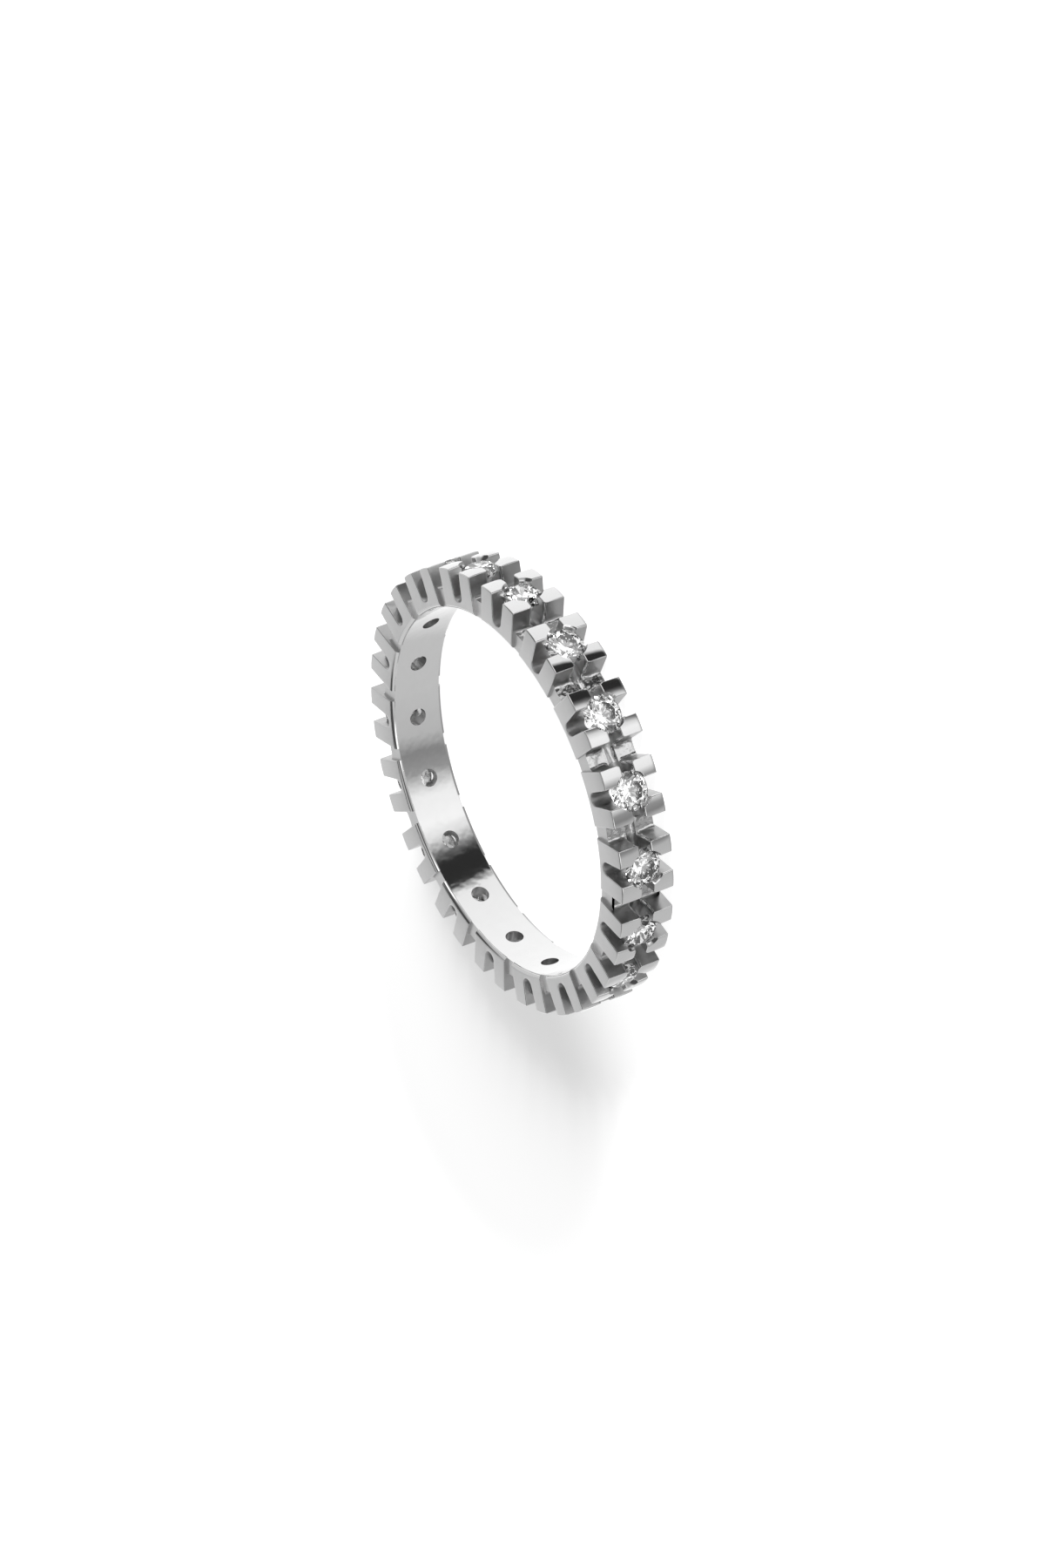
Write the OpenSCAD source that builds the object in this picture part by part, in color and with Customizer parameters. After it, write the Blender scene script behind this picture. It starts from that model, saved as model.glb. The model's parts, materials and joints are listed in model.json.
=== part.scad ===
// Full eternity ring: a soldered platinum band of four-prong blocks with one round brilliant in each.
// The ring lies on its side: Z is the finger's axis and z = 0 is the side face that it rests on.

/* [Ring] */
// Inner diameter, the finger size
bore_d = 17.0; // [16.5:0.1:22]
// Wall from the bore to the prong tips
wall = 1.88; // [1.7:0.02:2.1]
// Width of the band along the finger
band_w = 2.64; // [2.4:0.02:3]
// Rounding of the two bore edges
bore_edge_r = 0.2; // [0.1:0.05:0.25]

/* [Blocks] */
// Number of blocks and stones round the ring
stones = 18; // [12:1:19]
// Length of a block across its prong tips
block_tip = 2.57; // [2.5:0.01:2.6]
// Length of a block across its sides at the bore
block_bore = 2.41; // [2.35:0.01:2.45]
// Thickness of the bar that joins two blocks
bar_t = 0.8; // [0.7:0.05:0.9]
// Rounding where a bar's outer face meets the blocks
bar_corner_r = 0.2; // [0.1:0.05:0.3]
// How far each side of a bar lies behind the blocks' side faces
bar_recess = 0.15; // [0.05:0.05:0.25]

/* [Prongs] */
// Width of the groove across a block, measured at the prong tips
groove_w = 0.89; // [0.85:0.01:0.95]
// Width of that groove's round floor
groove_floor_d = 0.64; // [0.6:0.02:0.78]
// Depth of that groove below the prong tips
groove_depth = 1.5; // [1.4:0.02:1.52]
// Width of the channel that runs round the ring between the two rows of prongs
channel_w = 0.6; // [0.5:0.02:0.7]
// Depth of that channel below the prong tips
channel_depth = 1.2; // [1.15:0.05:1.25]

/* [Stones] */
// Girdle diameter of a stone
stone_d = 1.75; // [1.7:0.01:1.8]
// How far the girdle lies below the prong tips
girdle_drop = 0.4; // [0.34:0.01:0.42]
// How far the prong tips reach in over the girdle
claw_reach = 0.1; // [0.06:0.01:0.12]
// Gap between a stone and its seat
seat_gap = 0.03; // [0.02:0.01:0.04]
// Diameter of the hole that opens each seat to the bore
azure_d = 0.82; // [0.7:0.02:0.86]

/* [Hidden] */
$fn = 64;
ring_facets = 144;

bore_r = bore_d / 2;
tip_r = bore_r + wall;
mid_z = band_w / 2;
pitch = 360 / stones;
// Cutters run this far past the surface that they open
over = 0.5;

// A gap's side, seen from the side of the ring, as [radial, sideways] points at the bore and the tips
gap_bore_angle = pitch / 2 - asin(block_bore / 2 / bore_r);
gap_tip_angle = pitch / 2 - asin(block_tip / 2 / tip_r);
gap_bore = bore_r * [cos(gap_bore_angle), sin(gap_bore_angle)];
gap_tip = tip_r * [cos(gap_tip_angle), sin(gap_tip_angle)];
gap_flare = (gap_tip.y - gap_bore.y) / (gap_tip.x - gap_bore.x);

// Cut of the stone as shares of its girdle diameter
table_share = 0.57;
star_share = 0.78;
crown_share = 0.15;
girdle_share = 0.025;
pavilion_share = 0.43;
lower_half_share = 0.22;

stone_r = stone_d / 2;
table_r = table_share * stone_r;
star_r = star_share * stone_r;
crown_h = crown_share * stone_d;
girdle_h = girdle_share * stone_d;
pavilion_h = pavilion_share * stone_d;
lower_r = lower_half_share * stone_r;
girdle_z = tip_r - girdle_drop;
// Main facets on the crown, and the angle from one to the next
mains = 8;
facet_turn = 360 / mains;
// Height of the star tips over the girdle. The crown stands highest on a line from there to the girdle.
star_h = on_main(star_r, table_r, crown_h);

function stone_name(i) = str("stone_", i < 10 ? "0" : "", i);
function gap_half(r) = gap_bore.y + gap_flare * (r - gap_bore.x);

// Height of a main facet at radius r on its edge with the next one.
// Its middle line runs from start_h at start_r to 0 at the girdle.
function on_main(r, start_r, start_h) =
    start_h * (1 - (r * cos(facet_turn / 2) - start_r) / (stone_r - start_r));

// Points of one ring of facet corners, half of a turn ahead when half is 1
function corners(r, z, half) = [
    for (k = [0:mains - 1])
        [r * cos((k + half / 2) * facet_turn), r * sin((k + half / 2) * facet_turn), z]
];

// Outlines

module groove_outline() {
    floor_r = groove_floor_d / 2;
    centre_x = tip_r - groove_depth + floor_r;
    end_x = tip_r + over;
    flare = (groove_w / 2 - floor_r) / (tip_r - centre_x);
    end_half = floor_r + flare * (end_x - centre_x);
    translate([centre_x, 0])
        circle(r = floor_r);
    polygon([
        [centre_x, -floor_r],
        [end_x, -end_half],
        [end_x, end_half],
        [centre_x, floor_r]
    ]);
}

module gap_outline() {
    floor_x = bore_r + bar_t;
    corner_x = floor_x + bar_corner_r;
    corner_y = gap_half(corner_x) - bar_corner_r;
    end_x = tip_r + over;
    for (side = [-1, 1])
        translate([corner_x, side * corner_y])
            circle(r = bar_corner_r);
    polygon([
        [floor_x, -corner_y],
        [corner_x, -gap_half(corner_x)],
        [end_x, -gap_half(end_x)],
        [end_x, gap_half(end_x)],
        [corner_x, gap_half(corner_x)],
        [floor_x, corner_y]
    ]);
}

module bar_side_outline() {
    start_x = bore_r - over;
    end_x = tip_r + over;
    polygon([
        [start_x, -gap_half(start_x)],
        [end_x, -gap_half(end_x)],
        [end_x, gap_half(end_x)],
        [start_x, gap_half(start_x)]
    ]);
}

module band_section() {
    translate([bore_r + bore_edge_r, 0])
        square([wall - bore_edge_r, band_w]);
    translate([bore_r, bore_edge_r])
        square([wall, band_w - 2 * bore_edge_r]);
    for (z = [bore_edge_r, band_w - bore_edge_r])
        translate([bore_r + bore_edge_r, z])
            circle(r = bore_edge_r);
}

// Cutters

module across(from_z, to_z) {
    translate([0, 0, from_z])
        linear_extrude(height = to_z - from_z)
            children();
}

module gap_cut() {
    across(-over, band_w + over)
        gap_outline();
    across(-over, bar_recess)
        bar_side_outline();
    across(band_w - bar_recess, band_w + over)
        bar_side_outline();
}

module groove_cut() {
    across(-over, band_w + over)
        groove_outline();
}

module channel_cut() {
    rotate_extrude($fn = ring_facets)
        translate([tip_r - channel_depth, mid_z]) {
            translate([channel_w / 2, 0])
                circle(d = channel_w);
            translate([channel_w / 2, -channel_w / 2])
                square([channel_depth + over, channel_w]);
        }
}

// Hole from the bore, seat below the girdle and mouth between the tips, turned about the stone's axis
module setting_cut() {
    azure_r = azure_d / 2;
    seat_r = stone_r + seat_gap;
    mouth_r = stone_r - claw_reach;
    seat_low = girdle_z - girdle_h - seat_gap;
    hole_top = seat_low - pavilion_h * (seat_r - azure_r) / seat_r;
    claw_z = girdle_z + star_h * (stone_r - mouth_r) / (stone_r - star_r) + seat_gap;
    translate([0, 0, mid_z])
        rotate([0, 90, 0])
            rotate_extrude()
                polygon([
                    [0, bore_r - over],
                    [azure_r, bore_r - over],
                    [azure_r, hole_top],
                    [seat_r, seat_low],
                    [seat_r, girdle_z],
                    [mouth_r, claw_z],
                    [mouth_r, tip_r + over],
                    [0, tip_r + over]
                ]);
}

// Pieces

module band() {
    color("lightgray")
        difference() {
            rotate_extrude($fn = ring_facets)
                band_section();
            channel_cut();
            for (i = [1:stones])
                rotate([0, 0, (i - 1) * pitch]) {
                    groove_cut();
                    setting_cut();
                    rotate([0, 0, pitch / 2])
                        gap_cut();
                }
        }
}

// Round brilliant about Z, with its girdle's upper edge at z = 0 and its table up
module brilliant() {
    last = mains - 1;
    lower_z = -girdle_h + on_main(lower_r, 0, -pavilion_h);
    // Rows of corners: table, star tips, girdle's upper and lower edge in two halves each, lower halves
    table = 0;
    star = mains;
    upper = 2 * mains;
    upper_half = 3 * mains;
    lower = 4 * mains;
    lower_half = 5 * mains;
    pavilion = 6 * mains;
    culet = 7 * mains;
    points = concat(
        corners(table_r, crown_h, 0),
        corners(star_r, star_h, 1),
        corners(stone_r, 0, 0),
        corners(stone_r, 0, 1),
        corners(stone_r, -girdle_h, 0),
        corners(stone_r, -girdle_h, 1),
        corners(lower_r, lower_z, 1),
        [[0, 0, -girdle_h - pavilion_h]]
    );
    faces = concat(
        [[for (k = [last:-1:0]) table + k]],
        [for (k = [0:last]) let (n = (k + 1) % mains)
            each [
                [table + k, table + n, star + k],
                [table + n, star + n, upper + n, star + k],
                [star + k, upper_half + k, upper + k],
                [star + k, upper + n, upper_half + k],
                [upper + k, upper_half + k, lower_half + k, lower + k],
                [upper_half + k, upper + n, lower + n, lower_half + k],
                [lower + k, lower_half + k, pavilion + k],
                [lower_half + k, lower + n, pavilion + k],
                [lower + n, pavilion + n, culet, pavilion + k]
            ]
        ]
    );
    polyhedron(points, faces);
}

module stone(i) {
    color("aliceblue")
        rotate([0, 0, (i - 1) * pitch])
            translate([girdle_z, 0, mid_z])
                rotate([0, 90, 0])
                    brilliant();
}

band();
for (i = [1:stones])
    stone(i);
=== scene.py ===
# %% [markdown]
# A full eternity ring in platinum, lying on its side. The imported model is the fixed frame: it gives the
# bore, the width and the number of stones, and the looks below are built to fit inside it.

# %% Load the frame
import json
from math import asin, atan2, cos, degrees, pi, radians, sin, sqrt

import bmesh
import bpy
from mathutils import Matrix, Vector


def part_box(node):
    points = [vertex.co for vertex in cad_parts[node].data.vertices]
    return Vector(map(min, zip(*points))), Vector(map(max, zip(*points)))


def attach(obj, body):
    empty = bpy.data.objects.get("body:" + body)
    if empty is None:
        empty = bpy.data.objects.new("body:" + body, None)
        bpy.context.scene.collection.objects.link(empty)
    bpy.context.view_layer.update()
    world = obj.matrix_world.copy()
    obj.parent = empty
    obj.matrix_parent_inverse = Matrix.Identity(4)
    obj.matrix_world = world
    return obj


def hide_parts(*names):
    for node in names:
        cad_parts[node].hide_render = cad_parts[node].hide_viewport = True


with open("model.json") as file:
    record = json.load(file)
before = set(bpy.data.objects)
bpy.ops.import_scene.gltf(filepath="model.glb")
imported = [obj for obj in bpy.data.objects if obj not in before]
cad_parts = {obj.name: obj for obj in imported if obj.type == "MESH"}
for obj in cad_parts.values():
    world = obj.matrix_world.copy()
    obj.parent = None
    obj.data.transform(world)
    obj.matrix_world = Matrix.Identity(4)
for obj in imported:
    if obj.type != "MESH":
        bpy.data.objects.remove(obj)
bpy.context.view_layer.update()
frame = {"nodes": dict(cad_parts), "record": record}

# %% [markdown]
# A jeweller works in millimetres and Blender in metres. The lengths below are in millimetres, and MM
# turns them into metres where a mesh is made. The finger hole is a mount of the record, and the width and
# the stones are read from the nodes. The wall is typed in, because no tip lies right on an axis and the
# band's box therefore doesn't show how far the tips reach.

# %% Sizes of the ring
MM = 0.001
stone_nodes = sorted(name for name in frame["nodes"] if name.startswith("stone_"))
stone_count = len(stone_nodes)
pitch = 2 * pi / stone_count
band_low, band_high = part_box("band")
band_w = (band_high.z - band_low.z) / MM
mid_z = band_w / 2
finger_hole = next(m for m in frame["record"]["mounts"] if m["name"] == "finger_hole")
bore_r = finger_hole["dims"]["r_mm"]
wall = 1.88
tip_r = bore_r + wall
print(f"{stone_count} stones, bore {2 * bore_r:.2f} mm, tips {2 * tip_r:.2f} mm, width {band_w:.2f} mm")

# %% [markdown]
# Each block is a short bar of metal with a groove across it and a channel along it, which leave four
# prongs. These are the sizes of one block, its stone and the gap beside it. Polishing rounds the edges by a
# few hundredths of a millimetre and lets each prong tip fall a little towards them.

# %% Sizes of one block
# Block and gap
block_tip = 2.57
block_bore = 2.41
bar_t = 0.8
bar_corner_r = 0.2
bar_recess = 0.15
bore_edge_r = 0.2

# Groove across a block, and channel round the ring
groove_w = 0.89
groove_floor_d = 0.64
groove_depth = 1.5
channel_w = 0.6
channel_depth = 1.2

# Stone and setting
stone_d = 1.75
girdle_drop = 0.4
claw_reach = 0.1
seat_gap = 0.03
azure_r = 0.41
bright_cut_w = 0.13
bright_cut_h = 0.24

# Rounds at the edges: tips, gaps and grooves in the tips, side faces, prongs at the channel
tip_round = 0.05
gap_round = 0.03
groove_round = 0.06
side_round = 0.035
inner_corner_r = 0.16

# Pillow of a tip: how wide and deep it falls, and the depths at which the fall fades out on the walls
shoulder_w = 0.42
shoulder_drop = 0.025
side_drop = 0.025
fade_start = 0.12
fade_end = 0.3

# Cutters run this far past the surface that they open, and widen by the flare on the way
over = 0.5
flare = over / 20

# Fineness of the meshes: a quarter round, the blank across its tips and round the ring
round_steps = 5
tip_rows = 26
ring_steps = 36 * stone_count
print(f"block {block_tip} mm long at its tips, {tip_r - bore_r:.2f} mm high, stone {stone_d} mm")

# %% [markdown]
# The cutters are closed meshes lofted through a row of outlines. An outline that swells a little at the
# ends leaves a rounded edge on the metal, so the rounds are real geometry and need no bevel afterwards.

# %% Helpers for closed meshes
# Corners of a mesh that lie closer than this become one
WELD = 1e-4 * MM


def quarter_turns(steps=round_steps):
    """Angles of a quarter circle, from 0 to a right angle."""
    return [step * pi / 2 / steps for step in range(steps + 1)]


def quarter(radius):
    """Depth and swell of a quarter round, from the flat wall out to the surface that it opens in."""
    return [(radius * sin(t), radius * (1 - cos(t))) for t in quarter_turns()]


def closed_mesh(name, points, faces):
    """A mesh in metres from points in millimetres, with its doubles merged and its normals outwards."""
    mesh = bpy.data.meshes.new(name)
    mesh.from_pydata([Vector(p) * MM for p in points], [], faces)
    shape = bmesh.new()
    shape.from_mesh(mesh)
    bmesh.ops.remove_doubles(shape, verts=shape.verts, dist=WELD)
    bmesh.ops.recalc_face_normals(shape, faces=shape.faces)
    if shape.calc_volume(signed=True) < 0:
        bmesh.ops.reverse_faces(shape, faces=shape.faces)
    shape.to_mesh(mesh)
    shape.free()
    return mesh


def skin(name, rows, turned=False):
    """A closed mesh through rows of points. Its ends get lids, and a turned shape is joined up instead."""
    size = len(rows[0])
    count = len(rows)
    points = [point for row in rows for point in row]
    faces = []
    for r in range(count if turned else count - 1):
        below = r * size
        above = (r + 1) % count * size
        for k in range(size):
            n = (k + 1) % size
            faces.append((below + k, below + n, above + n, above + k))
    if not turned:
        faces.append(tuple(reversed(range(size))))
        faces.append(tuple(range((count - 1) * size, count * size)))
    return closed_mesh(name, points, faces)


def as_object(mesh):
    """A helper object that only holds a mesh for the node trees below."""
    return bpy.data.objects.new(mesh.name, mesh)


print("mesh helpers ready,", round_steps, "steps to a quarter round")

# %% [markdown]
# The blank is the ring before any cutting, one profile turned about the finger's axis. Its outside has many
# rows and columns, because the prong tips are bent into shape after the cuts. Polishing rounds their edges:
# the blank has that round at its two side faces, and every cutter below adds it where it opens in the tips.

# %% Turn the blank
def round_corner(centre_r, centre_z, radius, start):
    """Points of a quarter circle in the profile, with start in quarter turns."""
    turns = [(start + step / round_steps) * pi / 2 for step in range(round_steps + 1)]
    return [(centre_r + radius * cos(t), centre_z + radius * sin(t)) for t in turns]


def tip_edge(radius=tip_round):
    """Inset from the wall and depth below the tips, along the small round at a tip's edge."""
    return [(radius * (1 - cos(t)), radius * (1 - sin(t))) for t in quarter_turns()]


def blank_profile():
    """Outline of the uncut ring as radius and height, from the bore's lower edge round to its upper one."""
    low_edge = [(tip_r - depth, inset) for inset, depth in tip_edge()]
    high_edge = [(r, band_w - z) for r, z in reversed(low_edge)]
    row_w = (band_w - 2 * tip_round) / tip_rows
    rows = [(tip_r, tip_round + row * row_w) for row in range(1, tip_rows)]
    return (
        round_corner(bore_r + bore_edge_r, bore_edge_r, bore_edge_r, 2)
        + low_edge
        + rows
        + high_edge
        + round_corner(bore_r + bore_edge_r, band_w - bore_edge_r, bore_edge_r, 1)
    )


def turned_rows(profile):
    """The profile at every step round the finger's axis."""
    turns = [2 * pi * step / ring_steps for step in range(ring_steps)]
    return [[(r * cos(t), r * sin(t), z) for r, z in profile] for t in turns]


blank = skin("blank", turned_rows(blank_profile()), turned=True)
print("blank:", len(blank.polygons), "faces")

# %% [markdown]
# The gap between two blocks flares outwards, because each block's sides are nearly parallel while the
# pitch grows with the radius. The same two lines also bound the shallow recess at each side of a bar.

# %% Gap cutters
gap_bore_angle = pitch / 2 - asin(block_bore / 2 / bore_r)
gap_tip_angle = pitch / 2 - asin(block_tip / 2 / tip_r)
gap_bore_x, gap_bore_y = bore_r * cos(gap_bore_angle), bore_r * sin(gap_bore_angle)
gap_tip_x, gap_tip_y = tip_r * cos(gap_tip_angle), tip_r * sin(gap_tip_angle)
gap_flare = (gap_tip_y - gap_bore_y) / (gap_tip_x - gap_bore_x)


def gap_half(x):
    """Half the width of a gap at a distance from the finger's axis, measured along the gap's middle."""
    return gap_bore_y + gap_flare * (x - gap_bore_x)


def mirrored(side):
    """A closed outline from its half with y above 0, walked from the floor outwards."""
    return [(x, -y) for x, y in side] + [(x, y) for x, y in reversed(side)]


def lips(half_width, swell, radius):
    """The last stretch of a cut's side, which rounds over into the round tips, and its end past them."""
    wall_end = half_width(tip_r - radius)
    side = []
    for inset, depth in tip_edge(radius):
        y = wall_end + inset
        side.append((sqrt((tip_r - depth) ** 2 - y**2), y + swell))
    return side + [(tip_r + over, side[-1][1] + flare)]


def gap_outline(swell):
    """The gap down to the bar, whose outer face meets the blocks in a small round."""
    floor_x = bore_r + bar_t
    corner_x = floor_x + bar_corner_r
    corner_y = gap_half(corner_x) - bar_corner_r
    corner = [
        (corner_x - bar_corner_r * cos(t), corner_y + bar_corner_r * sin(t) + swell)
        for t in quarter_turns()
    ]
    return mirrored(corner + lips(gap_half, swell, gap_round))


def recess_outline(swell):
    """The whole gap from the bore outwards, for the shallow cut at each side of a bar."""
    start_x = bore_r - over
    end_x = tip_r + over
    return mirrored([(start_x, gap_half(start_x) + swell), (end_x, gap_half(end_x) + swell)])


def face_levels(radius):
    """Heights from below the lower side face to above the upper one, each with its swell."""
    low = [(radius - depth, out) for depth, out in reversed(quarter(radius))]
    high = [(band_w - z, out) for z, out in reversed(low)]
    return [(-over, low[0][1])] + low + high + [(band_w + over, high[-1][1])]


def lofted(name, outline, levels):
    """A cutter that follows an outline through levels of height and swell."""
    return skin(name, [[(x, y, z) for x, y in outline(swell)] for z, swell in levels])


low_levels = [(z, swell) for z, swell in face_levels(side_round) if z < mid_z] + [(bar_recess, 0)]
high_levels = [(band_w - z, swell) for z, swell in reversed(low_levels)]


def gap_levels():
    """The gap also swells towards the channel, which rounds the prongs' inner corners."""
    straight_end = mid_z - channel_w / 2 - inner_corner_r
    low = [level for level in face_levels(side_round) if level[0] < mid_z]
    low += [(straight_end + depth, swell) for depth, swell in quarter(inner_corner_r)]
    return low + [(band_w - z, swell) for z, swell in reversed(low)]


gap_cutter = lofted("gap_cutter", gap_outline, gap_levels())
recess_low = lofted("recess_low", recess_outline, low_levels)
recess_high = lofted("recess_high", recess_outline, high_levels)
print("gap: half width", round(gap_half(tip_r), 3), "mm at the tips")

# %% [markdown]
# The groove across a block has a round floor and sides that open slightly. The channel has a round floor
# too and runs all the way round, so it is a turned shape like the blank.

# %% Groove and channel cutters
groove_centre_x = tip_r - groove_depth + groove_floor_d / 2
groove_flare = (groove_w - groove_floor_d) / 2 / (tip_r - groove_centre_x)
# The round floors start at their lowest point, which each outline adds once
floor_turns = quarter_turns(2 * round_steps)[1:]


def groove_half(x):
    """Half the width of a groove at a distance from the finger's axis."""
    return groove_floor_d / 2 + groove_flare * (x - groove_centre_x)


def groove_outline(swell):
    """The groove from its round floor out to the round tips."""
    floor_r = groove_floor_d / 2 + swell
    floor = [(groove_centre_x - floor_r * cos(t), floor_r * sin(t)) for t in floor_turns]
    return mirrored(floor + lips(groove_half, swell, groove_round)) + [(groove_centre_x - floor_r, 0)]


def channel_profile():
    """The channel's outline as radius and height."""
    floor_r = channel_w / 2
    centre_x = tip_r - channel_depth + floor_r
    floor = [(centre_x - floor_r * cos(t), floor_r * sin(t)) for t in floor_turns]
    edge = [(tip_r - depth, floor_r + inset) for inset, depth in tip_edge()]
    outline = mirrored(floor + edge + [(tip_r + over, edge[-1][1] + flare)])
    return [(x, mid_z + y) for x, y in outline + [(centre_x - floor_r, 0)]]


groove_cutter = lofted("groove_cutter", groove_outline, face_levels(side_round))
channel_cutter = skin("channel_cutter", turned_rows(channel_profile()), turned=True)
print(f"groove: {len(groove_cutter.polygons)} faces, channel: {len(channel_cutter.polygons)} faces")

# %% [markdown]
# A setter drills each block from the outside: a small hole through to the bore, a cone for the stone's
# underside and a straight wall at its girdle. The tips keep a thin edge over the girdle, which holds it. Last
# comes a bright cut, a small polished bevel round the stone that trims the inner corner of every tip.

# %% Setting cutter
# Cut of the stone as shares of its girdle's radius or diameter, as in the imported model
stone_r = stone_d / 2
table_r = 0.57 * stone_r
star_r = 0.78 * stone_r
lower_half_r = 0.22 * stone_r
crown_h = 0.15 * stone_d
girdle_h = 0.025 * stone_d
pavilion_h = 0.43 * stone_d
main_facets = 8
facet_turn = 2 * pi / main_facets
# Height of the star tips, on the edge between two main facets of the crown
star_h = crown_h * (1 - (star_r * cos(facet_turn / 2) - table_r) / (stone_r - table_r))
girdle_x = tip_r - girdle_drop
mouth_r = stone_r - claw_reach
seat_steps = 64


def setting_side():
    """Half of the setting's outline as distance from the finger's axis and radius about the stone's."""
    seat_r = stone_r + seat_gap
    seat_low = girdle_x - girdle_h - seat_gap
    hole_top = seat_low - pavilion_h * (seat_r - azure_r) / seat_r
    claw_x = girdle_x + star_h * (stone_r - mouth_r) / (stone_r - star_r) + seat_gap
    return [
        (bore_r - over, azure_r),
        (hole_top, azure_r),
        (seat_low, seat_r),
        (girdle_x, seat_r),
        (claw_x, mouth_r),
        (tip_r - bright_cut_h, mouth_r),
        (tip_r, mouth_r + bright_cut_w),
        (tip_r + over, mouth_r + bright_cut_w + flare),
    ]


def setting_rows():
    """The setting's outline turned about the stone's axis."""
    turns = [2 * pi * step / seat_steps for step in range(seat_steps)]
    return [[(x, r * cos(t), mid_z + r * sin(t)) for t in turns] for x, r in setting_side()]


setting_cutter = skin("setting_cutter", setting_rows())
print("setting:", len(setting_cutter.polygons), "faces")

# %% [markdown]
# Geometry Nodes repeat the cutters round the ring and cut the blank with them. One tree holds the whole
# band. The helpers make a tree, a node with its values, and the plain mesh that a tree leaves behind.

# %% Node helpers
def new_tree(name, inputs):
    """An empty geometry node tree with named inputs and one geometry output."""
    tree = bpy.data.node_groups.new(name, "GeometryNodeTree")
    tree.interface.new_socket("Geometry", in_out="INPUT", socket_type="NodeSocketGeometry")
    for label, kind in inputs:
        tree.interface.new_socket(label, in_out="INPUT", socket_type=kind)
    tree.interface.new_socket("Geometry", in_out="OUTPUT", socket_type="NodeSocketGeometry")
    return tree, tree.nodes.new("NodeGroupInput"), tree.nodes.new("NodeGroupOutput")


def add_node(tree, kind, values=(), **settings):
    """A node with its settings and its sockets' values, given by the socket's name."""
    made = tree.nodes.new(kind)
    for key, value in settings.items():
        setattr(made, key, value)
    for key, value in dict(values).items():
        made.inputs[key].default_value = value
    return made


def modified_mesh(mesh, tree, values, name):
    """The mesh after a node tree, as a plain mesh with no modifier left. Inputs are set by identifier."""
    holder = bpy.data.objects.new(name, mesh)
    bpy.context.scene.collection.objects.link(holder)
    modifier = holder.modifiers.new("nodes", "NODES")
    modifier.node_group = tree
    for item in tree.interface.items_tree:
        if item.in_out == "INPUT" and item.name in values:
            modifier[item.identifier] = values[item.name]
    bpy.context.view_layer.update()
    result = holder.evaluated_get(bpy.context.evaluated_depsgraph_get())
    made = bpy.data.meshes.new_from_object(result)
    made.name = name
    bpy.data.objects.remove(holder)
    return made


print("node helpers ready")

# %% [markdown]
# The tree's named inputs are the number of blocks, the metal, the channel and one cutter for each kind of
# cut. Every cutter is repeated at the blocks or, half a pitch on, at the gaps. The Manifold solver then takes
# them from the blank one kind after another, and keeps the result closed.

# %% Tree that cuts the band
# Share of the pitch by which each cutter is turned from the block's middle
CUTTERS = {"Groove": 0, "Setting": 0, "Gap": 0.5, "Recess Low": 0.5, "Recess High": 0.5}


def round_the_ring(tree, group_in, cutter, shift):
    """Instances of one cutter at every block, or half a pitch on at every gap."""
    source = add_node(tree, "GeometryNodeObjectInfo")
    line = add_node(tree, "GeometryNodeMeshLine", {"Offset": (0, 0, 0)})
    index = add_node(tree, "GeometryNodeInputIndex")
    step = add_node(tree, "ShaderNodeMath", operation="DIVIDE")
    step.inputs[0].default_value = 2 * pi
    angle = add_node(tree, "ShaderNodeMath", operation="MULTIPLY")
    moved = add_node(tree, "ShaderNodeMath", operation="ADD")
    moved.inputs[1].default_value = shift
    turn = add_node(tree, "ShaderNodeCombineXYZ")
    copies = add_node(tree, "GeometryNodeInstanceOnPoints")
    real = add_node(tree, "GeometryNodeRealizeInstances")
    link = tree.links.new
    link(group_in.outputs[cutter], source.inputs["Object"])
    link(group_in.outputs["Blocks"], line.inputs["Count"])
    link(group_in.outputs["Blocks"], step.inputs[1])
    link(index.outputs[0], moved.inputs[0])
    link(moved.outputs[0], angle.inputs[0])
    link(step.outputs[0], angle.inputs[1])
    link(angle.outputs[0], turn.inputs["Z"])
    link(line.outputs["Mesh"], copies.inputs["Points"])
    link(source.outputs["Geometry"], copies.inputs["Instance"])
    link(turn.outputs[0], copies.inputs["Rotation"])
    link(copies.outputs[0], real.inputs[0])
    return real.outputs[0]


def band_tree():
    """The tree that takes every cutter from the blank in its Geometry input."""
    sockets = [("Blocks", "NodeSocketInt"), ("Metal", "NodeSocketMaterial")]
    sockets += [(tool, "NodeSocketObject") for tool in ("Channel", *CUTTERS)]
    tree, group_in, group_out = new_tree("band_cut", sockets)
    link = tree.links.new
    channel = add_node(tree, "GeometryNodeObjectInfo")
    link(group_in.outputs["Channel"], channel.inputs["Object"])
    tools = [channel.outputs["Geometry"]]
    for cutter, shift in CUTTERS.items():
        tools.append(round_the_ring(tree, group_in, cutter, shift))
    metal = group_in.outputs["Geometry"]
    for tool in tools:
        cut = add_node(tree, "GeometryNodeMeshBoolean", operation="DIFFERENCE", solver="MANIFOLD")
        link(metal, cut.inputs["Mesh 1"])
        link(tool, cut.inputs["Mesh 2"])
        metal = cut.outputs["Mesh"]
    real = add_node(tree, "GeometryNodeRealizeInstances")
    paint = add_node(tree, "GeometryNodeSetMaterial")
    link(metal, real.inputs[0])
    link(real.outputs[0], paint.inputs["Geometry"])
    link(group_in.outputs["Metal"], paint.inputs["Material"])
    link(paint.outputs[0], group_out.inputs[0])
    return tree


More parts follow.
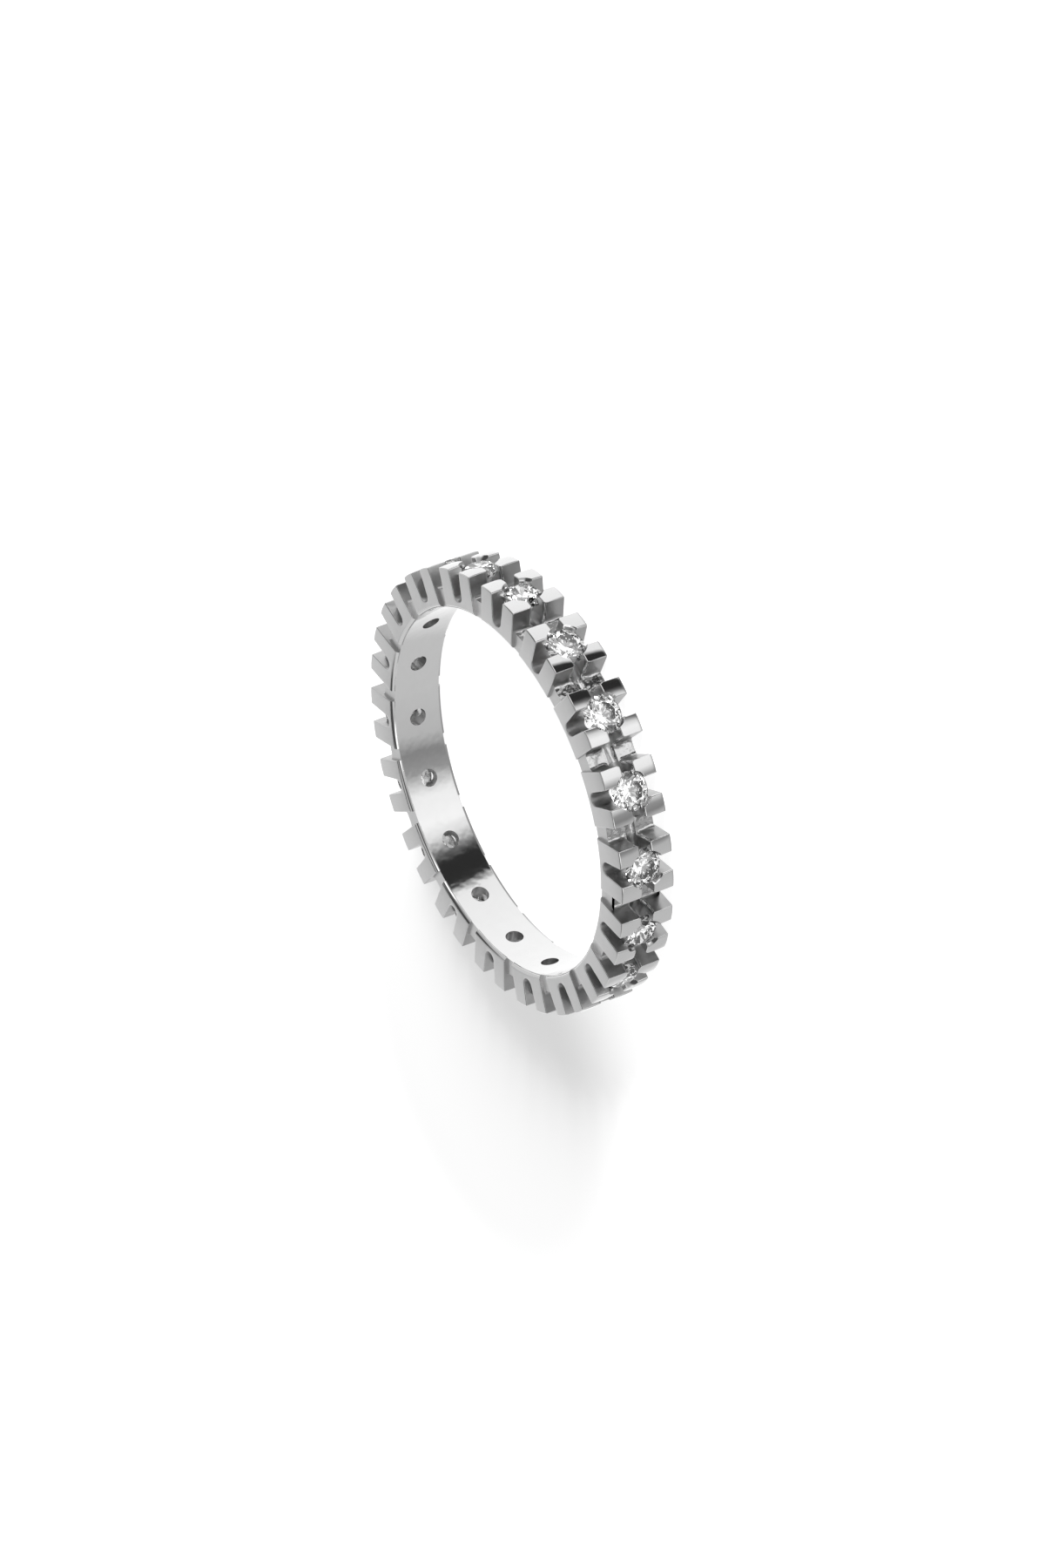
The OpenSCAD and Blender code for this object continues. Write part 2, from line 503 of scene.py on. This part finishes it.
# Two finishes carry painted shade: the brushed gap walls and the drilled hollows get a far darker grey
FINISHES = ("Polished", "Reamed", "Satin", "Brushed", "Cast", "Drilled")
finishes = {finish: bpy.data.materials.new(f"{finish.lower()}_platinum") for finish in FINISHES}
band_mesh = modified_mesh(
    blank,
    band_tree(),
    {
        "Blocks": stone_count,
        "Metal": finishes["Polished"],
        "Channel": as_object(channel_cutter),
        "Groove": as_object(groove_cutter),
        "Setting": as_object(setting_cutter),
        "Gap": as_object(gap_cutter),
        "Recess Low": as_object(recess_low),
        "Recess High": as_object(recess_high),
    },
    "band_metal",
)
shape = bmesh.new()
shape.from_mesh(band_mesh)
open_edges = sum(1 for e in shape.edges if len(e.link_faces) != 2)
volume = shape.calc_volume() / MM**3
shape.free()
print(f"band: {len(band_mesh.polygons)} faces, {open_edges} open edges, {volume:.1f} mm3")

# %% [markdown]
# Each tool leaves its own finish. The mop polishes the tips and the bright cuts, and the bore under its
# polish keeps the faint ripple of the reamer that brought the ring to its size. The side faces keep a satin
# from the flat stick, and the file leaves the gaps brushed; their walls also get a much darker grey, which is
# painted shade between the blocks. No tool reaches the bars at their bottom, which keep the skin of the
# casting, and the drill leaves grooves, channel and seats dull, with a darker grey that is painted shade in
# these hollows. A face gets its finish and its painted shade by where it lies: how deep below the tips, in
# which cut, and which way it faces.

# %% Finish of each face
# Slack in millimetres when a face is matched to a cut
HAIR = 0.01
# Parts of a face's normal: up for a side face, outwards for a bar's outer face, and sideways for a gap's wall
UP = 0.98
OUTWARD = 0.7
SIDEWAYS = 0.5


def finish_of(centre, normal):
    """A face's finish, with painted shade on gap walls and hollows, from its centre in millimetres and
    normal.
    """
    r = sqrt(centre.x**2 + centre.y**2)
    bearing = atan2(centre.y, centre.x)
    turn = bearing % pitch
    off_gap = turn - pitch / 2
    off_stone = min(turn, pitch - turn)
    gap_x, gap_y = r * cos(off_gap), abs(r * sin(off_gap))
    stone_x, stone_y = r * cos(off_stone), r * sin(off_stone)
    from_axis = sqrt(stone_y**2 + (centre.z - mid_z) ** 2)
    from_side = min(centre.z, band_w - centre.z)
    sideways = abs(normal.y * cos(bearing) - normal.x * sin(bearing))
    outward = normal.x * cos(bearing) + normal.y * sin(bearing)
    if abs(normal.z) > UP and from_side < bar_recess + HAIR:
        return "Satin"
    if r < bore_r + HAIR:
        return "Reamed"
    if r > tip_r - groove_round:
        return "Polished"
    if r < bore_r + bore_edge_r + HAIR and from_side < bore_edge_r and sideways < SIDEWAYS:
        return "Polished"
    if r > tip_r - bright_cut_h and mouth_r < from_axis < mouth_r + bright_cut_w:
        return "Polished"
    # Gap walls get the brushed finish with its darker grey, painted shade between the blocks
    if gap_y < gap_half(gap_x) + HAIR:
        return "Cast" if outward > OUTWARD else "Brushed"
    in_groove = stone_y < groove_half(stone_x) + HAIR and stone_x > tip_r - groove_depth - HAIR
    in_channel = abs(centre.z - mid_z) < channel_w / 2 + HAIR and r > tip_r - channel_depth - HAIR
    # Grooves, channel and seats get the drilled finish with its darker grey, painted shade in the hollows
    if in_groove or in_channel or from_axis < stone_r + seat_gap + HAIR:
        return "Drilled"
    return "Polished"


band_mesh.materials.clear()
for finish in FINISHES:
    band_mesh.materials.append(finishes[finish])
finish_counts = dict.fromkeys(FINISHES, 0)
for face in band_mesh.polygons:
    finish = finish_of(face.center / MM, face.normal)
    face.material_index = FINISHES.index(finish)
    finish_counts[finish] += 1
print("faces by finish:", finish_counts)

# %% [markdown]
# The mop leaves each prong tip a little pillowed. It falls from its middle to its edges along a low curve,
# which is why a tip mirrors a wide part of the studio in a soft gradient. Every corner of the mesh near the
# tips moves inwards by the fall at its place, and the move fades out below them, so the walls stay straight.

# %% Pillow the prong tips
def fall(distance, drop):
    """How far the tip has fallen at a distance from its edge."""
    share = min(max(distance / shoulder_w, 0), 1)
    return drop * (1 - share) ** 2


def pillow(mesh):
    """Lowers the corners near the tips, by both falls together and less the deeper they lie."""
    for corner in mesh.vertices:
        x, y, z = corner.co / MM
        r = sqrt(x**2 + y**2)
        share = min(max((fade_end - (tip_r - r)) / (fade_end - fade_start), 0), 1)
        if share == 0:
            continue
        turn = atan2(y, x) % pitch
        off_gap = turn - pitch / 2
        off_stone = min(turn, pitch - turn)
        from_gap = abs(r * sin(off_gap)) - gap_half(r * cos(off_gap))
        from_groove = r * sin(off_stone) - groove_half(r * cos(off_stone))
        from_side = min(z, band_w - z)
        from_channel = abs(z - mid_z) - channel_w / 2
        low = fall(min(from_gap, from_groove), shoulder_drop)
        low += fall(min(from_side, from_channel), side_drop)
        inwards = 1 - low * share * share * (3 - 2 * share) / r
        corner.co.x *= inwards
        corner.co.y *= inwards


pillow(band_mesh)
print("tips fall by up to", shoulder_drop + side_drop, "mm")

# %% [markdown]
# The smooth parts are shaded smooth and the edges stay crisp. Weighted normals let each broad face keep its
# own direction, which a mirror finish shows at once when it is wrong.

# %% Shade and place the band
CRISP_ANGLE = radians(35)
BROAD_FACE_WEIGHT = 80


def finish_metal(mesh, name):
    """An object with its crisp edges kept hard and its broad faces ruling the normals."""
    piece = bpy.data.objects.new(name, mesh)
    bpy.context.scene.collection.objects.link(piece)
    mesh.shade_smooth()
    mesh.set_sharp_from_angle(angle=CRISP_ANGLE)
    weigh = piece.modifiers.new("weigh", "WEIGHTED_NORMAL")
    weigh.keep_sharp = True
    weigh.weight = BROAD_FACE_WEIGHT
    bpy.context.view_layer.update()
    result = piece.evaluated_get(bpy.context.evaluated_depsgraph_get())
    piece.modifiers.clear()
    piece.data = bpy.data.meshes.new_from_object(result)
    piece.data.name = name
    return piece


band = finish_metal(band_mesh, "band_metal")
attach(band, "root")
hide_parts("band")
print("band shaded:", len(band.data.vertices), "corners")

# %% [markdown]
# A round brilliant is a short round bar with flat facets ground onto it, and it is made here in the same
# way: a cylinder is cut by one plane for each facet. The girdle then gets its true scalloped edge.

# %% Cut one brilliant
girdle_sides = 96
# Share of the girdle's height that the facets above and below bite into it
scallop = 0.1
# Slack of a cutting plane, and how close the corners of two facets lie when they are one
plane_slack = 1e-6 * MM
facet_weld = 2e-4 * MM
culet = Vector((0, 0, -girdle_h - pavilion_h))


def grind(shape, normal, through):
    """Cuts away what lies on the outer side of a plane and closes the facet."""
    cut = bmesh.ops.bisect_plane(
        shape,
        geom=list(shape.verts) + list(shape.edges) + list(shape.faces),
        dist=plane_slack,
        plane_co=through * MM,
        plane_no=normal,
        clear_outer=True,
    )
    edges = [e for e in cut["geom_cut"] if isinstance(e, bmesh.types.BMEdge)]
    if edges:
        bmesh.ops.contextual_create(shape, geom=edges)


def outward_normal(a, b, c):
    """Unit normal of the plane through three points, on the side away from the stone's middle."""
    normal = (b - a).cross(c - a).normalized()
    return normal if normal.dot(a) > 0 else -normal


def polar(r, turn, z):
    """A point from its distance and direction about the stone's axis and its height."""
    return Vector((r * cos(turn), r * sin(turn), z))


def facets(number):
    """Planes of one eighth of the stone as normal and point, in the order in which they are cut."""
    turn = number * facet_turn
    half = turn + facet_turn / 2
    top = polar(table_r, turn, crown_h)
    next_top = polar(table_r, turn + facet_turn, crown_h)
    star = polar(star_r, half, star_h)
    low_rim = polar(stone_r, half, -girdle_h)
    crown_side = top + Vector((-sin(turn), cos(turn), 0))
    low_side = low_rim + Vector((-sin(half), cos(half), 0))
    planes = [
        (outward_normal(top, polar(stone_r, turn, 0), crown_side), top),
        (outward_normal(culet, low_rim, low_side), low_rim),
        (outward_normal(top, next_top, star), top),
    ]
    low_z = -girdle_h - pavilion_h * (1 - lower_half_r * cos(facet_turn / 2) / stone_r)
    for side in (-1, 1):
        beside = half + side * facet_turn / 2
        between = half + side * facet_turn / 4
        rim = polar(stone_r, beside, 0)
        lower = polar(lower_half_r, beside, low_z)
        upper_bite = polar(stone_r, between, -girdle_h * scallop)
        lower_bite = polar(stone_r, between, -girdle_h * (1 - scallop))
        planes.append((outward_normal(star, rim, upper_bite), star))
        planes.append((outward_normal(lower, low_rim, lower_bite), lower))
    return planes


def brilliant_mesh():
    """The stone about Z with its girdle's upper edge at z = 0, table up."""
    turns = [2 * pi * side / girdle_sides for side in range(girdle_sides)]
    rows = [[polar(stone_r, turn, z) for turn in turns] for z in (culet.z, crown_h)]
    mesh = skin("brilliant", rows)
    shape = bmesh.new()
    shape.from_mesh(mesh)
    for number in range(main_facets):
        for normal, through in facets(number):
            grind(shape, normal, through)
    bmesh.ops.remove_doubles(shape, verts=shape.verts, dist=facet_weld)
    bmesh.ops.recalc_face_normals(shape, faces=shape.faces)
    open_count = sum(1 for e in shape.edges if len(e.link_faces) != 2)
    volume = shape.calc_volume() / MM**3
    print(f"brilliant: {len(shape.faces)} faces, {open_count} open edges, {volume:.3f} mm3")
    shape.to_mesh(mesh)
    shape.free()
    return mesh


brilliant = brilliant_mesh()

# %% [markdown]
# A tree sets the brilliant into the ring at the angle of one block. It runs once for each stone, so every
# stone stays a piece of its own, as on the bench.

# %% Tree that sets one stone
def setting_tree():
    """The tree that stands a stone on its side, moves it out to its seat and turns it to its block."""
    tree, group_in, group_out = new_tree(
        "stone_set",
        [("Turn", "NodeSocketFloat"), ("Girdle", "NodeSocketVector"), ("Diamond", "NodeSocketMaterial")],
    )
    link = tree.links.new
    stand = add_node(tree, "GeometryNodeTransform", {"Rotation": (0, pi / 2, 0)})
    move = add_node(tree, "GeometryNodeTransform")
    spin = add_node(tree, "ShaderNodeCombineXYZ")
    turned = add_node(tree, "GeometryNodeTransform")
    real = add_node(tree, "GeometryNodeRealizeInstances")
    paint = add_node(tree, "GeometryNodeSetMaterial")
    link(group_in.outputs["Geometry"], stand.inputs["Geometry"])
    link(stand.outputs[0], move.inputs["Geometry"])
    link(group_in.outputs["Girdle"], move.inputs["Translation"])
    link(move.outputs[0], turned.inputs["Geometry"])
    link(group_in.outputs["Turn"], spin.inputs["Z"])
    link(spin.outputs[0], turned.inputs["Rotation"])
    link(turned.outputs[0], real.inputs[0])
    link(real.outputs[0], paint.inputs["Geometry"])
    link(group_in.outputs["Diamond"], paint.inputs["Material"])
    link(paint.outputs[0], group_out.inputs[0])
    return tree


diamond = bpy.data.materials.new("cut_diamond")
set_stone = setting_tree()
for number, node_name in enumerate(stone_nodes):
    values = {
        "Turn": number * pitch,
        "Girdle": (girdle_x * MM, 0, mid_z * MM),
        "Diamond": diamond,
    }
    piece_name = node_name.replace("stone", "brilliant")
    stone_mesh = modified_mesh(brilliant, set_stone, values, piece_name)
    piece = bpy.data.objects.new(piece_name, stone_mesh)
    bpy.context.scene.collection.objects.link(piece)
    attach(piece, "root")
    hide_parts(node_name)
print(stone_count, "stones set")

# %% [markdown]
# Polished platinum is nearly a mirror, but never a perfect one. Fine marks and slow waves of the hand that
# held it to the wheel break up the reflections. One shader group makes them for all finishes and the stones.

# %% Shader group for hand polish
POLISH_INPUTS = (
    "Grey",
    "Grey Spread",
    "Roughness",
    "Unevenness",
    "Mark Scale",
    "Mark Depth",
    "Wave Scale",
    "Wave Depth",
)
# Heights in metres of a wave and a mark whose depth is 1
WAVE_HEIGHT = 0.00001
MARK_HEIGHT = 0.000006


def hand_polish_group():
    """Colour, roughness and a normal that waver over the surface: fine marks, and slow waves of hand work."""
    group = bpy.data.node_groups.new("hand_polish", "ShaderNodeTree")
    for label in POLISH_INPUTS:
        group.interface.new_socket(label, in_out="INPUT", socket_type="NodeSocketFloat")
    group.interface.new_socket("Colour", in_out="OUTPUT", socket_type="NodeSocketColor")
    group.interface.new_socket("Roughness", in_out="OUTPUT", socket_type="NodeSocketFloat")
    group.interface.new_socket("Normal", in_out="OUTPUT", socket_type="NodeSocketVector")
    group_in = group.nodes.new("NodeGroupInput")
    group_out = group.nodes.new("NodeGroupOutput")
    link = group.links.new
    place = add_node(group, "ShaderNodeTexCoord")
    marks = add_node(group, "ShaderNodeTexNoise", {"Detail": 3.0, "Roughness": 0.6})
    waves = add_node(group, "ShaderNodeTexNoise", {"Detail": 1.0, "Roughness": 0.5})
    drift = add_node(group, "ShaderNodeMath", operation="MULTIPLY_ADD")
    tone = add_node(group, "ShaderNodeCombineColor")
    spread = add_node(group, "ShaderNodeMath", operation="MULTIPLY_ADD")
    wave_height = add_node(group, "ShaderNodeMath", operation="MULTIPLY")
    mark_height = add_node(group, "ShaderNodeMath", operation="MULTIPLY")
    slow = add_node(group, "ShaderNodeBump", {"Strength": 1.0, "Distance": WAVE_HEIGHT})
    fine = add_node(group, "ShaderNodeBump", {"Strength": 1.0, "Distance": MARK_HEIGHT})
    link(place.outputs["Object"], marks.inputs["Vector"])
    link(place.outputs["Object"], waves.inputs["Vector"])
    link(group_in.outputs["Mark Scale"], marks.inputs["Scale"])
    link(group_in.outputs["Wave Scale"], waves.inputs["Scale"])
    link(waves.outputs["Fac"], drift.inputs[0])
    link(group_in.outputs["Grey Spread"], drift.inputs[1])
    link(group_in.outputs["Grey"], drift.inputs[2])
    for channel in ("Red", "Green", "Blue"):
        link(drift.outputs[0], tone.inputs[channel])
    link(marks.outputs["Fac"], spread.inputs[0])
    link(group_in.outputs["Unevenness"], spread.inputs[1])
    link(group_in.outputs["Roughness"], spread.inputs[2])
    link(waves.outputs["Fac"], wave_height.inputs[0])
    link(group_in.outputs["Wave Depth"], wave_height.inputs[1])
    link(wave_height.outputs[0], slow.inputs["Height"])
    link(marks.outputs["Fac"], mark_height.inputs[0])
    link(group_in.outputs["Mark Depth"], mark_height.inputs[1])
    link(mark_height.outputs[0], fine.inputs["Height"])
    link(slow.outputs[0], fine.inputs["Normal"])
    link(tone.outputs[0], group_out.inputs["Colour"])
    link(spread.outputs[0], group_out.inputs["Roughness"])
    link(fine.outputs[0], group_out.inputs["Normal"])
    return group


hand_polish = hand_polish_group()
print("shader group:", hand_polish.name, "with", len(POLISH_INPUTS), "inputs")

# %% [markdown]
# The six finishes are six rows of values for that group. Grey and roughness say how bright and how soft the
# metal mirrors. The low grey of the brushed gap walls and of the drilled hollows is painted shade. The bars'
# casting skin has the deepest waves, so it throws the light about in broken patches.

# %% Six finishes of platinum
# A row has one value for each of POLISH_INPUTS, in that order
FINISH_VALUES = {
    "Polished": (0.76, 0.03, 0.06, 0.05, 9000, 0.04, 1100, 0.7),
    "Reamed": (0.8, 0.03, 0.06, 0.05, 9000, 0.04, 2400, 0.7),
    "Satin": (0.78, 0.04, 0.3, 0.12, 7000, 0.7, 900, 0.5),
    # The brushed and drilled rows have a grey far below the polish: painted shade in gaps and hollows
    "Brushed": (0.42, 0.08, 0.24, 0.16, 4000, 1.5, 1500, 2.0),
    "Cast": (0.64, 0.12, 0.08, 0.1, 4500, 4.0, 1900, 16.0),
    "Drilled": (0.5, 0.08, 0.3, 0.1, 5000, 1.5, 2000, 3.0),
}


def add_polish(material, values):
    """The polish group in a material, with its own value for each input."""
    polish = add_node(material.node_tree, "ShaderNodeGroup", node_tree=hand_polish)
    for label, value in zip(POLISH_INPUTS, values):
        polish.inputs[label].default_value = value
    return polish


def make_platinum(material, values):
    """A metal whose colour, roughness and normal come from the polish group."""
    material.use_nodes = True
    link = material.node_tree.links.new
    shader = material.node_tree.nodes["Principled BSDF"]
    shader.inputs["Metallic"].default_value = 1.0
    polish = add_polish(material, values)
    link(polish.outputs["Colour"], shader.inputs["Base Color"])
    link(polish.outputs["Roughness"], shader.inputs["Roughness"])
    link(polish.outputs["Normal"], shader.inputs["Normal"])


for finish, values in FINISH_VALUES.items():
    make_platinum(finishes[finish], values)
print("platinum finishes:", ", ".join(FINISH_VALUES))

# %% [markdown]
# Diamond bends light more than any other clear stone. That number and a perfect polish do most of the work,
# because the facets then throw the bright studio and its dark cards back in small hard patches. The polish
# group gives it the faint uneven tone of the rough, and facets that the lap left a touch less than perfect.

# %% Diamond
DIAMOND_IOR = 2.417
DIAMOND_POLISH = (0.975, 0.025, 0.0, 0.004, 9000, 0.0, 1500, 0.0)


def make_diamond(material):
    """Clear glass with the diamond's index, coloured and roughened a little by the polish group."""
    material.use_nodes = True
    link = material.node_tree.links.new
    shader = material.node_tree.nodes["Principled BSDF"]
    shader.inputs["Transmission Weight"].default_value = 1.0
    shader.inputs["IOR"].default_value = DIAMOND_IOR
    polish = add_polish(material, DIAMOND_POLISH)
    link(polish.outputs["Colour"], shader.inputs["Base Color"])
    link(polish.outputs["Roughness"], shader.inputs["Roughness"])


make_diamond(diamond)
print("diamond: index", DIAMOND_IOR)

# %% [markdown]
# A polished ring looks like the studio around it. The photograph's tones follow the direction that each
# surface mirrors, so the studio is a few cards round the ring: one row for each, with the direction in
# degrees about the finger's axis and how bright it is. The tips and the bore mirror the low cards, and the
# side faces mirror the high ones. Over the high cards the studio is dark, apart from a pale ceiling right
# overhead, which keeps the side faces grey when the ring is seen from above. Far below lies the dim ground.

# %% Studio cards
# Each card: direction in degrees, brightness
LOW_CARDS = {
    "grey wall left": (-170, 0.62),
    "grey wall end": (-138, 0.55),
    "dark flag": (-128, 0.27),
    "window edge": (-116, 0.35),
    "window": (-101, 1.04),
    "window end": (-84, 1.12),
    "window fall": (-74, 0.85),
    "flag edge": (-66.5, 0.2),
    "black flag": (-60, 0.03),
    "black flag end": (-45, 0.03),
    "sheet edge": (-38, 1.0),
    "white sheet": (10, 1.1),
    "white sheet end": (95, 1.2),
    "grey wall right": (148, 0.62),
}
HIGH_CARDS = {
    "grey wall left": (-165, 0.7),
    "grey wall end": (-152, 0.5),
    "lamp left": (-147, 1.5),
    "lamp left end": (-127, 1.5),
    "screen left": (-118, 0.75),
    "camera": (-108, 0.45),
    "camera end": (-76, 0.45),
    "screen right": (-66, 0.75),
    "lamp right": (-57, 1.5),
    "lamp right end": (-38, 1.5),
    "lamp fall": (-32, 0.4),
    "far wall": (40, 0.72),
    "far wall end": (140, 0.72),
}
DARK_TOP = 0.08
ZENITH_LEVEL = 0.6
GROUND_LEVEL = 0.35
# Heights, as the z of a unit direction, between which each level gives way to the next
LOW_TO_HIGH = (0.05, 0.2)
CARDS_TO_GROUND = (-0.6, -0.85)
CARDS_TO_TOP = (0.6, 0.75)
TOP_TO_ZENITH = (0.92, 0.97)


def card_row(tree, turn, cards):
    """A ramp over the direction about the finger's axis, with one step for each card."""
    row = add_node(tree, "ShaderNodeValToRGB")
    ramp = row.color_ramp
    while len(ramp.elements) < len(cards):
        ramp.elements.new(1.0)
    for element, (direction, level) in zip(ramp.elements, sorted(cards.values())):
        element.position = (direction + 180) / 360
        element.color = (level, level, level, 1)
    tree.links.new(turn, row.inputs["Fac"])
    return row.outputs["Color"]


def change_over(tree, height, heights, before, after):
    """One level before a pair of heights and another after it. The second may be a plain number."""
    share = add_node(tree, "ShaderNodeMapRange", {"From Min": heights[0], "From Max": heights[1]})
    mix = add_node(tree, "ShaderNodeMix", data_type="FLOAT")
    tree.links.new(height, share.inputs["Value"])
    tree.links.new(share.outputs["Result"], mix.inputs["Factor"])
    tree.links.new(before, mix.inputs["A"])
    if isinstance(after, float):
        mix.inputs["B"].default_value = after
    else:
        tree.links.new(after, mix.inputs["B"])
    return mix.outputs["Result"]


def make_studio():
    """The world: a brightness for every direction, from the cards and the levels above and below them."""
    world = bpy.data.worlds.new("studio")
    bpy.context.scene.world = world
    world.use_nodes = True
    tree = world.node_tree
    link = tree.links.new
    shade = tree.nodes["Background"]
    shade.inputs["Color"].default_value = (1, 1, 1, 1)
    coords = add_node(tree, "ShaderNodeTexCoord")
    parts = add_node(tree, "ShaderNodeSeparateXYZ")
    angle = add_node(tree, "ShaderNodeMath", operation="ARCTAN2")
    turn = add_node(tree, "ShaderNodeMapRange", {"From Min": -pi, "From Max": pi})
    link(coords.outputs["Generated"], parts.inputs[0])
    link(parts.outputs["Y"], angle.inputs[0])
    link(parts.outputs["X"], angle.inputs[1])
    link(angle.outputs[0], turn.inputs["Value"])
    height = parts.outputs["Z"]
    low = card_row(tree, turn.outputs["Result"], LOW_CARDS)
    high = card_row(tree, turn.outputs["Result"], HIGH_CARDS)
    level = change_over(tree, height, LOW_TO_HIGH, low, high)
    level = change_over(tree, height, CARDS_TO_GROUND, level, GROUND_LEVEL)
    level = change_over(tree, height, CARDS_TO_TOP, level, DARK_TOP)
    level = change_over(tree, height, TOP_TO_ZENITH, level, ZENITH_LEVEL)
    link(level, shade.inputs["Strength"])


make_studio()
print("studio:", len(LOW_CARDS) + len(HIGH_CARDS), "cards")

# %% [markdown]
# The floor is a plain pale sheet. The metal mirrors the cards and not the sheet, as it would on clear glass
# over a lit table, and the sheet only takes the ring's soft shadow, deepened by painted shade: in a round
# pool beside the ring its glow is painted lower, because a sheet that is lit from below everywhere would
# drown the shadow that falls there.

# %% Floor
FLOOR_HALF_SIDE = 2.0
SHEET_COLOUR = (0.25, 0.25, 0.25, 1)
SHEET_ROUGHNESS = 0.9
BRIGHT_GLOW = 0.92
SHADED_GLOW = 0.57
# The pool of painted shade is darkest up to the first radius and bright again from the second one
SHADED_CENTRE = (-12 * MM, 16 * MM, 0)
SHADED_RADIUS = 8 * MM
BRIGHT_RADIUS = 17 * MM


def sheet_material():
    """A dull pale sheet that is lit from below, with painted shade in the pool where the shadow falls."""
    sheet = bpy.data.materials.new("pale_sheet")
    sheet.use_nodes = True
    tree = sheet.node_tree
    link = tree.links.new
    shader = tree.nodes["Principled BSDF"]
    shader.inputs["Base Color"].default_value = SHEET_COLOUR
    shader.inputs["Roughness"].default_value = SHEET_ROUGHNESS
    shader.inputs["Specular IOR Level"].default_value = 0.0
    shader.inputs["Emission Strength"].default_value = 1.0
    # The glow is painted lower in the pool, a painted shade where the ring's shadow falls
    place = add_node(tree, "ShaderNodeTexCoord")
    away = add_node(tree, "ShaderNodeVectorMath", operation="DISTANCE")
    away.inputs[1].default_value = SHADED_CENTRE
    radii = {"From Min": SHADED_RADIUS, "From Max": BRIGHT_RADIUS}
    levels = {"To Min": SHADED_GLOW, "To Max": BRIGHT_GLOW}
    glow = add_node(tree, "ShaderNodeMapRange", radii | levels, interpolation_type="SMOOTHSTEP")
    link(place.outputs["Object"], away.inputs[0])
    link(away.outputs["Value"], glow.inputs["Value"])
    link(glow.outputs["Result"], shader.inputs["Emission Color"])
    return sheet


def make_floor():
    """The sheet as one face, hidden from mirrored rays."""
    half = FLOOR_HALF_SIDE
    corners = [(-half, -half, 0), (half, -half, 0), (half, half, 0), (-half, half, 0)]
    mesh = bpy.data.meshes.new("floor")
    mesh.from_pydata(corners, [], [(0, 1, 2, 3)])
    mesh.materials.append(sheet_material())
    floor = bpy.data.objects.new("floor", mesh)
    bpy.context.scene.collection.objects.link(floor)
    floor.visible_glossy = False
    return floor


floor = make_floor()
print("floor:", floor.dimensions.x, "m square")

# %% [markdown]
# One large soft light stands low beyond the ring's upper end in the picture, so its shadow falls down from
# the foot. The metal doesn't mirror it, because the cards already say what the metal mirrors.

# %% Key light
# Lengths in millimetres, power in watts
KEY_DIRECTION = radians(-42)
KEY_RISE = radians(18)
KEY_DISTANCE = 200
KEY_SIZE = 60
KEY_POWER = 2.2


def heading(direction, rise):
    """Unit vector from the ring towards a direction about the finger's axis and a rise over the floor."""
    level = cos(rise)
    return Vector((level * cos(direction), level * sin(direction), sin(rise)))


def make_key():
    """The area light, turned to face the ring."""
    data = bpy.data.lights.new("key", "AREA")
    data.size = KEY_SIZE * MM
    data.energy = KEY_POWER
    key = bpy.data.objects.new("key", data)
    bpy.context.scene.collection.objects.link(key)
    away = heading(KEY_DIRECTION, KEY_RISE)
    key.location = away * KEY_DISTANCE * MM
    key.rotation_euler = (-away).to_track_quat("-Z", "Y").to_euler()
    key.visible_glossy = False


make_key()
print(f"key light from {degrees(KEY_DIRECTION):.0f} degrees, {degrees(KEY_RISE):.0f} degrees up")

# %% [markdown]
# The camera keeps the photograph's angle to the ring: its height over the side face, its direction and its
# roll, so the ring stands in the frame as it does there while it really lies on the floor.

# %% Camera
# Lengths in millimetres. The camera turns about the ring's middle and aims a little beside it.
CAMERA_DISTANCE = 247.4
CAMERA_RISE = radians(26.41)
CAMERA_DIRECTION = radians(-88.96)
CAMERA_ROLL = radians(109.83)
CAMERA_LENS = 128.9
SENSOR_HEIGHT = 36
CLIP_START = 0.01
MIDDLE = Vector((0, 0, mid_z))
AIM = Vector((-0.065, -0.398, mid_z))


def make_camera():
    """The camera as it stood to the ring in the photograph."""
    data = bpy.data.cameras.new("camera")
    data.sensor_fit = "VERTICAL"
    data.sensor_height = SENSOR_HEIGHT
    data.lens = CAMERA_LENS
    data.clip_start = CLIP_START
    data.dof.use_dof = False
    camera = bpy.data.objects.new("camera", data)
    bpy.context.scene.collection.objects.link(camera)
    place = MIDDLE + heading(CAMERA_DIRECTION, CAMERA_RISE) * CAMERA_DISTANCE
    look = (AIM - place).to_track_quat("-Z", "Y").to_matrix()
    turned = look @ Matrix.Rotation(-CAMERA_ROLL, 3, "Z")
    camera.matrix_world = Matrix.Translation(place * MM) @ turned.to_4x4()
    bpy.context.scene.camera = camera
    return camera


camera = make_camera()
bpy.context.scene.view_settings.view_transform = "Standard"
print("camera at", [round(v / MM, 1) for v in camera.matrix_world.translation], "mm")
